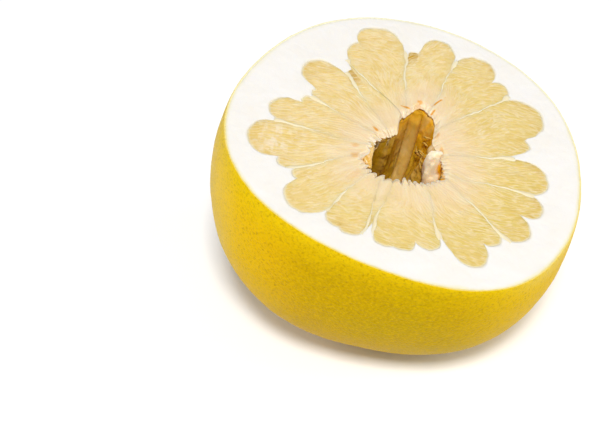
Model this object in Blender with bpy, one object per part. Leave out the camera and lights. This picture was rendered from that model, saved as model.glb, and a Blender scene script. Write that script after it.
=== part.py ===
"""Half a pomelo, cut side up, resting on the flat spot near its blossom end.

Metres, +Z up. The origin is the centre of the flat resting spot.
The half grew as one piece, so it is one solid. It is a swelling round fruit that a slanting cut
has opened. The cut face shows the pulp of the segments as shallow lobed pockets in the thick pith,
and the hollow core with the strand that runs down its far wall.
"""
import math

import bmesh
import bpy
from mathutils import Matrix, Vector

# Fruit, measured from the table that it rests on
GIRTH_RADIUS = 0.0746
GIRTH_HEIGHT = 0.0712
CROWN_HEIGHT = 0.0773
RESTING_RADIUS = 0.024
ROUNDNESS = 2.09
SWELLS = (
    # number of swells round the fruit, height as a share of the radius, heading of one crest
    (2, 0.024, math.radians(29.5)),
    (3, 0.0295, math.radians(-49.7)),
    (4, 0.020, math.radians(27.4)),
)
GIRTH_STEPS = 80
PROFILE_STEPS = 30
SKIN_COLOUR = (0.80, 0.53, 0.01)
SKIN_ROUGHNESS = 0.45
SMOOTH_UP_TO = math.radians(35)

# Blossom scar, a shallow dimple where the flower was
SCAR_HEADING = math.radians(160)
SCAR_DISTANCE = 0.028
SCAR_RADIUS = 0.0035
SCAR_DEPTH = 0.0012

# Cut
CUT_HEIGHT = 0.0887
CUT_TILT = math.radians(16)
CUT_HEADING = math.radians(-29)
CORE_ON_CUT = (-0.0004, -0.0068)

# Segments of pulp, in degrees and millimetres about the core on the cut.
# Each wall between two segments has its heading at the pith and at the core.
WALLS = (
    (346, 333), (367, 365), (400.5, 405), (425.5, 422), (446.5, 445),
    (475, 450), (481.5, 482), (510.5, 510), (535, 540), (563.5, 558),
    (589.5, 584), (608.5, 600), (611.5, 614), (645.5, 656), (676, 686),
)
# Each lobe has its heading, half its width in degrees, and how far its tip is from the core.
LOBES = (
    (355.5, 10, 60.5), (9, 3, 45), (15.5, 5.5, 56.5), (30, 10.3, 70.5), (45, 4.6, 67),
    (57.3, 7.9, 73), (73.5, 7.8, 71.5), (83, 2.8, 60), (97, 9.8, 70.5), (107.5, 8.3, 60.5),
    (115, 5.5, 46), (133.8, 10, 56.5), (146.5, 4, 45), (155, 4.5, 46), (166.8, 8, 56),
    (186, 10.2, 64), (199.5, 4, 54), (207, 3.2, 51), (219, 9.8, 60), (236, 6.5, 54),
    (242, 6.8, 54), (248.8, 2.4, 39), (258.5, 7.5, 52), (266.5, 6.5, 52), (279, 6, 50),
    (296.5, 8, 60), (310.5, 6, 55), (323.5, 8.5, 60), (339, 6.7, 60.5),
)
WALL_THICKNESS = 0.0012
POCKET_DEPTH = 0.001
PULP_INNER_GAP = 0.003
WALL_STRAIGHTENS = 0.020
WALL_STEPS = 4
NOTCH_SLOPE = 0.003
ARC_STEP = math.radians(3)

# Hollow core, in degrees and millimetres about the core on the cut
HOLLOW_RIM = (
    (0, 15.5), (20, 14.5), (34, 15.2), (46, 20), (54, 24.8), (64, 27.4), (72, 28), (77, 24.6),
    (83, 20.8), (91, 18.8), (95, 14.6), (99, 10.6), (110, 9.6), (125, 9.4), (147, 11), (170, 12),
    (188, 13.2), (203, 18), (222, 19.5), (250, 17.5), (280, 16), (300, 17), (322, 18.3), (340, 17),
)
HOLLOW_AXIS = (0.001, 0.003)
HOLLOW_LEVELS = (
    # depth below the cut, share of the rim's size
    (-0.006, 1.0), (0.0, 1.0), (0.010, 0.92), (0.022, 0.80), (0.034, 0.62), (0.043, 0.40),
    (0.047, 0.16),
)
HOLLOW_STEPS = 60

# Strand left of the core, down the far wall of the hollow
STRAND_HEADING = math.radians(73)
STRAND_WIDTH = 0.0065
STRAND_THICKNESS = 0.005
STRAND_TOP_DEPTH = 0.0015
STRAND_BOTTOM_DEPTH = 0.040
STRAND_TAPER = 0.35
STRAND_STEPS = 9
STRAND_SIDES = 12

CUTTER_REACH = 0.004
TOUCHING = 0.00001


def remove_everything():
    """Take all objects out of the scene."""
    for thing in list(bpy.data.objects):
        bpy.data.objects.remove(thing, do_unlink=True)


def make_material(name, colour, roughness):
    """A Principled material in one colour."""
    material = bpy.data.materials.new(name)
    material.use_nodes = True
    shader = material.node_tree.nodes["Principled BSDF"]
    shader.inputs["Base Color"].default_value = (*colour, 1.0)
    shader.inputs["Roughness"].default_value = roughness
    shader.inputs["Metallic"].default_value = 0.0
    material.diffuse_color = (*colour, 1.0)
    return material


def add_object(name, bm):
    """Turn a bmesh into an object of the scene."""
    mesh = bpy.data.meshes.new(name)
    bm.to_mesh(mesh)
    bm.free()
    thing = bpy.data.objects.new(name, mesh)
    bpy.context.scene.collection.objects.link(thing)
    return thing


def hide_cutter(thing):
    """A cutter shapes the fruit and isn't part of it."""
    thing.hide_render = True
    thing.display_type = "WIRE"
    return thing


def cut_frame():
    """The cut's own axes: x across to the right, y away, z out of the fruit, origin at the core."""
    normal = Vector((
        math.sin(CUT_TILT) * math.cos(CUT_HEADING),
        math.sin(CUT_TILT) * math.sin(CUT_HEADING),
        math.cos(CUT_TILT),
    ))
    across = Vector((1, 0, 0)) - normal * normal.x
    across.normalize()
    away = normal.cross(across)
    origin = Vector((0, 0, CUT_HEIGHT)) + across * CORE_ON_CUT[0] + away * CORE_ON_CUT[1]
    frame = Matrix((across, away, normal)).transposed().to_4x4()
    frame.translation = origin
    return frame


def girth_share(heading):
    """How far the fruit stands out at this heading, as a share of its mean radius."""
    return 1.0 + sum(size * math.cos(count * (heading - crest)) for count, size, crest in SWELLS)


def rise_below_girth():
    """Height of the lower arc before the resting spot flattens it."""
    flat_share = (RESTING_RADIUS / GIRTH_RADIUS) ** ROUNDNESS
    return GIRTH_HEIGHT / (1.0 - flat_share) ** (1.0 / ROUNDNESS)


def fruit_profile():
    """Radius and height from the blossom end to the crown, a rounded squarish arc."""
    points = []
    for step in range(PROFILE_STEPS + 1):
        turn = math.pi * (step / PROFILE_STEPS - 0.5)
        radius = GIRTH_RADIUS * abs(math.cos(turn)) ** (2.0 / ROUNDNESS)
        rise = abs(math.sin(turn)) ** (2.0 / ROUNDNESS)
        height = GIRTH_HEIGHT + (rise * CROWN_HEIGHT if turn > 0 else -rise * rise_below_girth())
        points.append((radius, height))
    points[0] = (0.0, points[0][1])
    points[-1] = (0.0, points[-1][1])
    return points


def underside_point(heading, distance):
    """The point of the fruit's underside at this heading and distance from its axis."""
    share = distance / (GIRTH_RADIUS * girth_share(heading))
    drop = rise_below_girth() * (1.0 - share ** ROUNDNESS) ** (1.0 / ROUNDNESS)
    return Vector((distance * math.cos(heading), distance * math.sin(heading), GIRTH_HEIGHT - drop))


def cut_off(bm, place, outward):
    """Cut away what lies beyond a plane, and close the cut with one face."""
    everything = bm.verts[:] + bm.edges[:] + bm.faces[:]
    cut = bmesh.ops.bisect_plane(
        bm, geom=everything, dist=TOUCHING, plane_co=place, plane_no=outward, clear_outer=True
    )
    rim = [item for item in cut["geom_cut"] if isinstance(item, bmesh.types.BMEdge)]
    bmesh.ops.holes_fill(bm, edges=rim, sides=0)


def build_fruit(frame):
    """The whole fruit turned about its axis, swollen, then cut at the table and on the slant."""
    bm = bmesh.new()
    profile = [bm.verts.new((radius, 0, height)) for radius, height in fruit_profile()]
    edges = [bm.edges.new(pair) for pair in zip(profile, profile[1:])]
    bmesh.ops.spin(
        bm, geom=profile + edges, cent=(0, 0, 0), axis=(0, 0, 1), angle=math.tau, steps=GIRTH_STEPS
    )
    bmesh.ops.remove_doubles(bm, verts=bm.verts[:], dist=TOUCHING)
    for vert in bm.verts:
        share = girth_share(math.atan2(vert.co.y, vert.co.x))
        vert.co.x *= share
        vert.co.y *= share
    cut_off(bm, (0, 0, 0), (0, 0, -1))
    cut_off(bm, frame @ Vector((0, 0, 0)), frame.to_3x3() @ Vector((0, 0, 1)))
    bmesh.ops.recalc_face_normals(bm, faces=bm.faces[:])
    return add_object("half_pomelo", bm)


def smooth_radius(knots, heading):
    """Radius in metres at a heading, on a smooth closed curve through (degrees, mm) knots."""
    degrees = math.degrees(heading) % 360
    count = len(knots)
    index = max(i for i in range(count) if knots[i][0] <= degrees)
    first, start, end, last = (knots[(index + step) % count][1] for step in (-1, 0, 1, 2))
    share = (degrees - knots[index][0]) / ((knots[(index + 1) % count][0] - knots[index][0]) % 360)
    leaving = (end - first) / 2
    arriving = (last - start) / 2
    bend = share * (1 - share)
    ease = share * share * (3 - 2 * share)
    radius = start + (end - start) * ease + bend * (leaving * (1 - share) - arriving * share)
    return radius / 1000


def lobe_radius(heading):
    """How far the pulp reaches at this heading: each lobe ends in a circle, with notches between."""
    reach = 0.0
    for lobe_heading, half_width, tip in LOBES:
        off = abs((math.degrees(heading) - lobe_heading + 180) % 360 - 180)
        sine = math.sin(math.radians(half_width))
        centre = tip / 1000 / (1 + sine)
        turn = math.radians(min(off, half_width))
        side = centre * math.sin(turn)
        radius = centre * math.cos(turn) + math.sqrt(max(0.0, (centre * sine) ** 2 - side ** 2))
        reach = max(reach, radius - NOTCH_SLOPE * max(0.0, off - half_width))
    return reach


def wall_heading(wall, radius, reach):
    """Heading of a wall between two segments at this distance from the core."""
    outer, inner = (math.radians(angle) for angle in wall)
    share = min(1.0, max(0.0, (radius - WALL_STRAIGHTENS) / (reach - WALL_STRAIGHTENS)))
    ease = 1 - (1 - share) ** 2
    return inner + (outer - inner) * ease


def polar_point(radius, heading, shift=0.0):
    """A point at a radius and heading, shifted sideways anticlockwise."""
    along = Vector((math.cos(heading), math.sin(heading), 0))
    aside = Vector((-math.sin(heading), math.cos(heading), 0))
    return along * radius + aside * shift


def wall_side(wall, shift):
    """The pulp's edge along one wall, from the core outwards, half a wall's thickness off it."""
    reach = lobe_radius(math.radians(wall[0]))
    inner = smooth_radius(HOLLOW_RIM, math.radians(wall[1])) + PULP_INNER_GAP
    outer = reach - WALL_THICKNESS / 2
    radii = (inner + (outer - inner) * step / WALL_STEPS for step in range(WALL_STEPS))
    return [polar_point(radius, wall_heading(wall, radius, reach), shift) for radius in radii]


def lobe_arc(start, end):
    """The pulp's scalloped edge against the pith, between two headings."""
    margin = WALL_THICKNESS / 2 / min(lobe_radius(start), lobe_radius(end))
    turn = end - start - 2 * margin
    steps = max(3, round(turn / ARC_STEP))
    headings = (start + margin + turn * step / steps for step in range(steps + 1))
    return [polar_point(lobe_radius(heading), heading) for heading in headings]


def segment_outline(wall, next_wall):
    """The pulp of one segment on the cut, anticlockwise about the core."""
    half = WALL_THICKNESS / 2
    outward = wall_side(wall, half)
    tips = lobe_arc(math.radians(wall[0]), math.radians(next_wall[0]))
    inward = wall_side(next_wall, -half)
    return outward + tips + inward[::-1]


def build_pockets(frame):
    """Cutters for the shallow pockets in which the pulp of the segments lies."""
    bm = bmesh.new()
    first_again = tuple(angle + 360 for angle in WALLS[0])
    for wall, next_wall in zip(WALLS, WALLS[1:] + (first_again,)):
        outline = [bm.verts.new(point) for point in segment_outline(wall, next_wall)]
        floor = bm.faces.new(outline)
        raised = bmesh.ops.extrude_face_region(bm, geom=[floor])
        top = [item for item in raised["geom"] if isinstance(item, bmesh.types.BMVert)]
        bmesh.ops.translate(bm, verts=top, vec=(0, 0, POCKET_DEPTH + CUTTER_REACH))
    bmesh.ops.recalc_face_normals(bm, faces=bm.faces[:])
    sunk = frame @ Matrix.Translation((0, 0, -POCKET_DEPTH))
    bmesh.ops.transform(bm, matrix=sunk, verts=bm.verts[:])
    return hide_cutter(add_object("pocket_cutters", bm))


def hollow_share(depth):
    """Size of the hollow at a depth, as a share of its rim's size."""
    for (upper, wide), (lower, narrow) in zip(HOLLOW_LEVELS, HOLLOW_LEVELS[1:]):
        if depth <= lower:
            return wide + (narrow - wide) * (depth - upper) / (lower - upper)
    return HOLLOW_LEVELS[-1][1]


def hollow_point(heading, depth):
    """A point on the hollow's wall, in the cut's own axes."""
    radius = smooth_radius(HOLLOW_RIM, heading)
    axis = Vector((*HOLLOW_AXIS, 0))
    rim = Vector((radius * math.cos(heading), radius * math.sin(heading), 0))
    return axis + (rim - axis) * hollow_share(depth) - Vector((0, 0, depth))


def bridge_rings(bm, rings):
    """Join rings of equally many vertices into a closed skin with a face at each end."""
    count = len(rings[0])
    for lower, upper in zip(rings, rings[1:]):
        for index in range(count):
            after = (index + 1) % count
            bm.faces.new((lower[index], lower[after], upper[after], upper[index]))
    bm.faces.new(rings[0])
    bm.faces.new(rings[-1])
    bmesh.ops.recalc_face_normals(bm, faces=bm.faces[:])


def build_hollow(frame):
    """Cutter for the hollow core, which narrows as it goes down."""
    bm = bmesh.new()
    rings = []
    for depth, share in HOLLOW_LEVELS:
        headings = (math.tau * step / HOLLOW_STEPS for step in range(HOLLOW_STEPS))
        rings.append([bm.verts.new(hollow_point(heading, depth)) for heading in headings])
    bridge_rings(bm, rings)
    bmesh.ops.transform(bm, matrix=frame, verts=bm.verts[:])
    return hide_cutter(add_object("hollow_cutter", bm))


def build_strand(frame):
    """The strand that the core left behind, half sunk in the far wall of the hollow."""
    bm = bmesh.new()
    outward = polar_point(STRAND_THICKNESS / 2, STRAND_HEADING)
    across = polar_point(STRAND_WIDTH / 2, STRAND_HEADING - math.pi / 2)
    rings = []
    for step in range(STRAND_STEPS + 1):
        share = step / STRAND_STEPS
        depth = STRAND_TOP_DEPTH + (STRAND_BOTTOM_DEPTH - STRAND_TOP_DEPTH) * share
        centre = hollow_point(STRAND_HEADING, depth)
        taper = 1.0 - STRAND_TAPER * share
        ring = []
        for side in range(STRAND_SIDES):
            turn = math.tau * side / STRAND_SIDES
            offset = across * math.cos(turn) + outward * math.sin(turn)
            ring.append(bm.verts.new(centre + offset * taper))
        rings.append(ring)
    bridge_rings(bm, rings)
    bmesh.ops.transform(bm, matrix=frame, verts=bm.verts[:])
    return hide_cutter(add_object("core_strand", bm))


def build_scar():
    """Cutter for the blossom scar: a flattened ball that dips into the skin."""
    bm = bmesh.new()
    bmesh.ops.create_icosphere(bm, subdivisions=3, radius=1.0)
    size = Matrix.Diagonal((SCAR_RADIUS, SCAR_RADIUS, SCAR_DEPTH, 1.0))
    place = Matrix.Translation(underside_point(SCAR_HEADING, SCAR_DISTANCE))
    bmesh.ops.transform(bm, matrix=place @ size, verts=bm.verts[:])
    return hide_cutter(add_object("scar_cutter", bm))


def add_boolean(body, tool, operation):
    """Cut a tool out of the body, or join it to the body."""
    modifier = body.modifiers.new(tool.name, "BOOLEAN")
    modifier.operation = operation
    modifier.solver = "EXACT"
    modifier.object = tool


def main():
    remove_everything()
    frame = cut_frame()
    fruit = build_fruit(frame)
    fruit.data.materials.append(make_material("pomelo_skin", SKIN_COLOUR, SKIN_ROUGHNESS))
    add_boolean(fruit, build_pockets(frame), "DIFFERENCE")
    add_boolean(fruit, build_hollow(frame), "DIFFERENCE")
    add_boolean(fruit, build_strand(frame), "UNION")
    add_boolean(fruit, build_scar(), "DIFFERENCE")
    fruit.data.shade_smooth()
    fruit.data.set_sharp_from_angle(angle=SMOOTH_UP_TO)


main()
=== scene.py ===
"""Looks of the half pomelo: skin, pith, pulp, segment walls and hollow core, built in metres around
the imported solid. A point of the cut face is given in the cut's own axes: x across to the right,
y away, z out of the fruit, with the origin at the core.
"""

import math

import bpy
import numpy as np
from mathutils import Matrix, Vector


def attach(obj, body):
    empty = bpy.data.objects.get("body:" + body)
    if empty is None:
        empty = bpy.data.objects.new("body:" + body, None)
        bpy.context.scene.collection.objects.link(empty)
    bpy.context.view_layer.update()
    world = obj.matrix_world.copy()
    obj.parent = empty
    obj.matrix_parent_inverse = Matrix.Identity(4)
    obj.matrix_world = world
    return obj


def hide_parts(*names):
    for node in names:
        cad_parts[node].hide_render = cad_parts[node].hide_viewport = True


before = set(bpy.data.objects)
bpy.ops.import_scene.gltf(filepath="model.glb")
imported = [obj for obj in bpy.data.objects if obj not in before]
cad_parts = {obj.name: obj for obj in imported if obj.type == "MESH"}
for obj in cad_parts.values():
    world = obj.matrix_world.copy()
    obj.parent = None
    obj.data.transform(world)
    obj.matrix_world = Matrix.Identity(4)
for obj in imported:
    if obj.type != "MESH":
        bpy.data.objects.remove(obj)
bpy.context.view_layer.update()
NODE = "half_pomelo"
MM = 0.001

# Fruit, as in the solid: its widest level, its arcs below and above, and the swells round it
GIRTH_RADIUS = 74.6
GIRTH_HEIGHT = 71.2
CROWN_HEIGHT = 77.3
RESTING_RADIUS = 24.0
ROUNDNESS = 2.09
SWELLS = (
    (2, 0.024, math.radians(29.5)),
    (3, 0.0295, math.radians(-49.7)),
    (4, 0.020, math.radians(27.4)),
)
SCAR_HEADING = math.radians(160)
SCAR_DISTANCE = 28.0

# Cut
CUT_HEIGHT = 88.7
CUT_TILT = math.radians(16)
CUT_HEADING = math.radians(-29)
CORE_ON_CUT = (-0.4, -6.8)

# Segments: each wall has its heading at the pith and at the core, in degrees
WALLS = (
    (346, 333), (367, 365), (400.5, 405), (425.5, 422), (446.5, 445),
    (475.5, 450), (481.5, 482), (510.5, 510), (535, 540), (563.5, 558),
    (589.5, 584), (608.5, 600), (611.5, 614), (645.5, 656), (676, 686), (706, 693),
)
# Each lobe: heading, half its width in degrees, distance of its tip from the core in millimetres,
# and how ripe and dark its tip is, from 0 to 1
LOBES = (
    (355.5, 10, 60.5, 0.5), (9, 3, 45, 0.7), (15.5, 5.5, 56.5, 0.3), (30, 10.3, 70.5, 0.55),
    (45, 4.6, 67, 0.0), (57.3, 7.9, 73, 0.6), (73.2, 7.0, 71.5, 0.35), (82.9, 2.9, 59, 1.0),
    (97, 9.8, 70.5, 0.15), (106.8, 7.8, 60.5, 0.2), (117, 5, 45.5, 1.0), (133.8, 10, 56.5, 0.5),
    (146.5, 4, 45, 0.3), (155, 4.5, 46, 0.1), (166.8, 8, 56, 0.25), (186, 10.2, 64, 0.45),
    (199.5, 4, 54, 0.2), (207, 3.2, 51, 0.2), (219, 9.8, 60, 0.15), (236, 6.5, 54, 0.55),
    (242, 6.8, 54, 0.4), (248.8, 2.4, 39, 0.6), (258.5, 7.5, 52, 0.1), (266.5, 6.5, 52, 0.2),
    (279, 6, 50, 0.0), (296.5, 8, 60, 0.25), (310.5, 6, 55, 0.4), (323.5, 8.5, 60, 0.5),
    (339, 6.7, 60.5, 0.7),
)
WALL_STRAIGHTENS = 20.0
NOTCH_SLOPE = 3.0

# Rim of the hollow core: heading in degrees, distance from the core in millimetres
HOLLOW_RIM = (
    (0, 15.5), (20, 14.5), (34, 15.2), (46, 20), (54, 24.8), (64, 27.4), (72, 28), (77, 24.6), (83, 20.8),
    (91, 18.8), (95, 14.6), (99, 10.6), (110, 9.6), (125, 9.4), (147, 11), (170, 12), (188, 13.2),
    (203, 18), (222, 19.5), (250, 17.5), (280, 16), (300, 17), (322, 18.3), (340, 17),
)
HOLLOW_AXIS = (1.0, 3.0)
HOLLOW_LEVELS = ((-6, 1.0), (0, 1.0), (10, 0.92), (22, 0.80), (34, 0.62), (43, 0.40), (47, 0.16))


# ---- numbers and noise

def unit(values):
    """The values, held between 0 and 1."""
    return np.clip(values, 0, 1)


def smoothstep(low, high, value):
    """0 before low, 1 after high, and an even rise between them."""
    share = unit((value - low) / (high - low))
    return share * share * (3 - 2 * share)


def bell(value, centre, width):
    """1 at the centre, less the further away."""
    return np.exp(-((value - centre) / width) ** 2)


def directions(vectors):
    """The vectors, brought to length 1."""
    return vectors / np.maximum(np.linalg.norm(vectors, axis=-1, keepdims=True), 1e-9)


def turn_from(heading, degrees):
    """Signed turn in degrees, from a heading in degrees to a heading in radians."""
    return (np.degrees(heading) - degrees + 180) % 360 - 180


def lattice(i, j, k, seed):
    """A number from 0 to 1 for each point of a lattice of whole numbers."""
    mixed = (i * 73856093) ^ (j * 19349663) ^ (k * 83492791) ^ (seed * 2654435761)
    mixed = mixed & 0xFFFFFFFF
    mixed = ((mixed ^ (mixed >> 16)) * 0x45D9F3B) & 0xFFFFFFFF
    mixed = ((mixed ^ (mixed >> 16)) * 0x45D9F3B) & 0xFFFFFFFF
    return (mixed ^ (mixed >> 16)) / 4294967296.0


def noise(points, size, seed=0, octaves=1):
    """Smooth noise from -1 to 1 at points in millimetres. size is the width of its swells."""
    total = np.zeros(points.shape[:-1])
    weight = 1.0
    reach = 0.0
    for octave in range(octaves):
        scaled = points / size * 2 ** octave + 100.0
        cell = np.floor(scaled).astype(np.int64)
        part = scaled - cell
        ease = part ** 3 * (part * (part * 6 - 15) + 10)
        value = 0.0
        for dx in (0, 1):
            for dy in (0, 1):
                for dz in (0, 1):
                    corner = lattice(cell[..., 0] + dx, cell[..., 1] + dy, cell[..., 2] + dz, seed + octave)
                    share = (
                        (ease[..., 0] if dx else 1 - ease[..., 0])
                        * (ease[..., 1] if dy else 1 - ease[..., 1])
                        * (ease[..., 2] if dz else 1 - ease[..., 2])
                    )
                    value = value + corner * share
        total += (value * 2 - 1) * weight
        reach += weight
        weight *= 0.5
    return total / reach


def dimples(points, size, seed=0):
    """Distance to the nearest of jittered points in space, as a share of their spacing."""
    scaled = points / size + 100.0
    cell = np.floor(scaled).astype(np.int64)
    nearest = np.full(points.shape[:-1], 9.0)
    for dx in (-1, 0, 1):
        for dy in (-1, 0, 1):
            for dz in (-1, 0, 1):
                i, j, k = cell[..., 0] + dx, cell[..., 1] + dy, cell[..., 2] + dz
                jitter = np.stack([lattice(i, j, k, seed + axis) for axis in range(3)], -1)
                place = np.stack([i, j, k], -1) + jitter
                nearest = np.minimum(nearest, np.linalg.norm(scaled - place, axis=-1))
    return nearest


# ---- the cut face

def cut_matrix():
    """The cut's own axes in the world, in millimetres."""
    normal = Vector((
        math.sin(CUT_TILT) * math.cos(CUT_HEADING),
        math.sin(CUT_TILT) * math.sin(CUT_HEADING),
        math.cos(CUT_TILT),
    ))
    across = (Vector((1, 0, 0)) - normal * normal.x).normalized()
    away = normal.cross(across)
    origin = Vector((0, 0, CUT_HEIGHT)) + across * CORE_ON_CUT[0] + away * CORE_ON_CUT[1]
    matrix = Matrix((across, away, normal)).transposed().to_4x4()
    matrix.translation = origin
    return matrix


CUT = np.array(cut_matrix())


def from_cut(points):
    """World points of points given in the cut's own axes."""
    return points @ CUT[:3, :3].T + CUT[:3, 3]


def to_cut(points):
    """Points in the cut's own axes of world points."""
    return (points - CUT[:3, 3]) @ CUT[:3, :3]


def polar(radius, heading, height=0.0):
    """Points in the cut's own axes, from radius and heading in radians."""
    radius, heading, height = np.broadcast_arrays(radius, heading, height)
    return np.stack([radius * np.cos(heading), radius * np.sin(heading), height], -1)


def radius_and_heading(points):
    """Distance from the core and heading in radians of points in the cut's own axes."""
    return np.hypot(points[..., 0], points[..., 1]), np.arctan2(points[..., 1], points[..., 0])


def knot_curve(knots, heading):
    """Radius at each heading on a smooth closed curve through (degrees, radius) knots."""
    degrees = np.degrees(heading) % 360
    places = np.array([knot[0] for knot in knots], float)
    radii = np.array([knot[1] for knot in knots], float)
    count = len(knots)
    index = np.searchsorted(places, degrees, side="right") - 1
    first, start, end, last = (radii[(index + step) % count] for step in (-1, 0, 1, 2))
    share = (degrees - places[index]) / ((places[(index + 1) % count] - places[index]) % 360)
    ease = share * share * (3 - 2 * share)
    bend = share * (1 - share)
    rise, fall = (end - first) / 2, (last - start) / 2
    return start + (end - start) * ease + bend * (rise * (1 - share) - fall * share)


def hollow_rim(heading):
    """Distance of the hollow's rim from the core at each heading."""
    return knot_curve(HOLLOW_RIM, heading)


def lobe_reach(heading):
    """How far the pulp reaches at each heading, and how ripe the lobe there is."""
    reach = np.zeros_like(heading)
    ripeness = np.zeros_like(heading)
    for lobe_heading, half_width, tip, ripe in LOBES:
        off = np.abs(turn_from(heading, lobe_heading))
        sine = math.sin(math.radians(half_width))
        centre = tip / (1 + sine)
        turn = np.radians(np.minimum(off, half_width))
        side = centre * np.sin(turn)
        radius = centre * np.cos(turn) + np.sqrt(np.maximum(0, (centre * sine) ** 2 - side ** 2))
        radius = radius - NOTCH_SLOPE * np.maximum(0, off - half_width)
        ripeness = np.where(radius > reach, ripe, ripeness)
        reach = np.maximum(reach, radius)
    return reach, ripeness


def warp(points, amount=1.0):
    """Move points within the cut a little, the same for pulp, walls and pith, so that they still fit."""
    flat = points * [1.0, 1.0, 0.0]
    aside = 0.55 * noise(flat, 9.0, 301) + 0.28 * noise(flat, 2.6, 303)
    away = 0.55 * noise(flat, 9.0, 305) + 0.28 * noise(flat, 2.6, 307)
    moved = points.copy()
    moved[..., 0] += aside * amount
    moved[..., 1] += away * amount
    return moved


def wall_heading(outer, inner, radius, reach):
    """Heading of a wall at a radius: it leaves the core at inner and bends to outer at the pith."""
    share = unit((radius - WALL_STRAIGHTENS) / (reach - WALL_STRAIGHTENS))
    return inner + (outer - inner) * (1 - (1 - share) ** 2)


# ---- meshes

def make_object(name, vertices, faces, material, attributes=None):
    """A smooth-shaded piece of the fruit, from vertices in millimetres."""
    mesh = bpy.data.meshes.new(name)
    mesh.from_pydata((vertices * MM).tolist(), [], faces)
    mesh.validate()
    for key, values in (attributes or {}).items():
        layer = mesh.attributes.new(key, "FLOAT", "POINT")
        layer.data.foreach_set("value", np.asarray(values, np.float32).ravel())
    mesh.shade_smooth()
    mesh.materials.append(material)
    piece = bpy.data.objects.new(name, mesh)
    bpy.context.scene.collection.objects.link(piece)
    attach(piece, "root")
    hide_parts(NODE)
    return piece


def grid_faces(rows, columns, wrap_rows=False, wrap_columns=True, start=0):
    """Quads between neighbouring rows and columns of a grid of vertices."""
    row = np.arange(rows if wrap_rows else rows - 1)
    column = np.arange(columns if wrap_columns else columns - 1)
    row, column = np.meshgrid(row, column, indexing="ij")
    next_row = (row + 1) % rows
    next_column = (column + 1) % columns
    quads = np.stack([
        row * columns + column, row * columns + next_column,
        next_row * columns + next_column, next_row * columns + column,
    ], -1).reshape(-1, 4) + start
    return quads.tolist()


def tube_faces(steps, sides, start=0):
    """Faces of a closed tube: round its side, and one at each end."""
    faces = grid_faces(steps, sides, start=start)
    faces.append(tuple(range(start + sides - 1, start - 1, -1)))
    faces.append(tuple(range(start + (steps - 1) * sides, start + steps * sides)))
    return faces


def fanned_faces(rows, columns):
    """Faces round a grid, with a fan at each end to one of the two vertices after the grid."""
    faces = grid_faces(rows, columns)
    tip, last = rows * columns, (rows - 1) * columns
    for column in range(columns):
        after = (column + 1) % columns
        faces.append((tip, after, column))
        faces.append((tip + 1, last + column, last + after))
    return faces


def normals_of(grid):
    """Unit normals of a grid of points that closes round its columns."""
    along = np.gradient(grid, axis=0)
    round_ = np.roll(grid, -1, 1) - np.roll(grid, 1, 1)
    return directions(np.cross(round_, along))


# ---- materials

class Paint:
    """One Principled material. Its colour is a base with further coats laid over it."""

    def __init__(self, name, base, roughness, specular, scatter=None):
        """scatter is the weight, the radius for each colour and the scale in metres."""
        self.material = bpy.data.materials.new(name)
        self.material.use_nodes = True
        self.tree = self.material.node_tree
        self.shader = self.tree.nodes["Principled BSDF"]
        self.colour = base
        self.fix(Base_Color=(*base, 1.0), Roughness=roughness, Specular_IOR_Level=specular)
        if scatter:
            weight, radius, scale = scatter
            self.fix(Subsurface_Weight=weight, Subsurface_Radius=radius, Subsurface_Scale=scale)

    def fix(self, **values):
        """Give the shader's sockets fixed values."""
        for key, value in values.items():
            self.shader.inputs[key.replace("_", " ")].default_value = value

    def wire(self, socket, value):
        """Feed a socket from another one, or set it to a colour or a number."""
        if isinstance(value, bpy.types.NodeSocket):
            self.tree.links.new(value, socket)
        else:
            socket.default_value = (*value, 1.0) if isinstance(value, tuple) else value

    def texture(self, kind, output, **values):
        """The output of a texture that is fixed to the piece."""
        node = self.tree.nodes.new("ShaderNodeTex" + kind)
        for key, value in values.items():
            node.inputs[key].default_value = value
        place = self.tree.nodes.new("ShaderNodeTexCoord").outputs["Object"]
        self.tree.links.new(place, node.inputs["Vector"])
        return node.outputs[output]

    def noise(self, scale, detail=2.0, roughness=0.5):
        """Clouds that vary from about 0.3 to 0.7."""
        return self.texture("Noise", "Fac", Scale=scale, Detail=detail, Roughness=roughness)

    def mapped(self, value, low, high, to_low=0.0, to_high=1.0):
        """The value, with low..high brought to to_low..to_high."""
        node = self.tree.nodes.new("ShaderNodeMapRange")
        for key, number in zip(
            ("Value", "From Min", "From Max", "To Min", "To Max"), (value, low, high, to_low, to_high)
        ):
            self.wire(node.inputs[key], number)
        return node.outputs["Result"]

    def sum(self, first, second, share=1.0):
        """first plus a share of second."""
        node = self.tree.nodes.new("ShaderNodeMath")
        node.operation = "MULTIPLY_ADD"
        for socket, value in zip(node.inputs, (second, share, first)):
            self.wire(socket, value)
        return node.outputs[0]

    def coat(self, cover, colour, low=0.0, high=1.0, strength=1.0):
        """Lay a colour on where the cover, a socket or an attribute's name, goes from low to high."""
        if isinstance(cover, str):
            node = self.tree.nodes.new("ShaderNodeAttribute")
            node.attribute_name = cover
            cover = node.outputs["Fac"]
        if (low, high, strength) != (0.0, 1.0, 1.0):
            cover = self.mapped(cover, low, high, 0.0, strength)
        mix = self.tree.nodes.new("ShaderNodeMix")
        mix.data_type = "RGBA"
        for index, value in ((0, cover), (6, self.colour), (7, colour)):
            self.wire(mix.inputs[index], value)
        self.colour = mix.outputs[2]

    def finish(self, height, distance, strength):
        """Wire the colour and a bump, and give the material."""
        bump = self.tree.nodes.new("ShaderNodeBump")
        for key, value in (("Height", height), ("Distance", distance), ("Strength", strength)):
            self.wire(bump.inputs[key], value)
        self.wire(self.shader.inputs["Normal"], bump.outputs["Normal"])
        self.wire(self.shader.inputs["Base Color"], self.colour)
        return self.material


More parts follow.
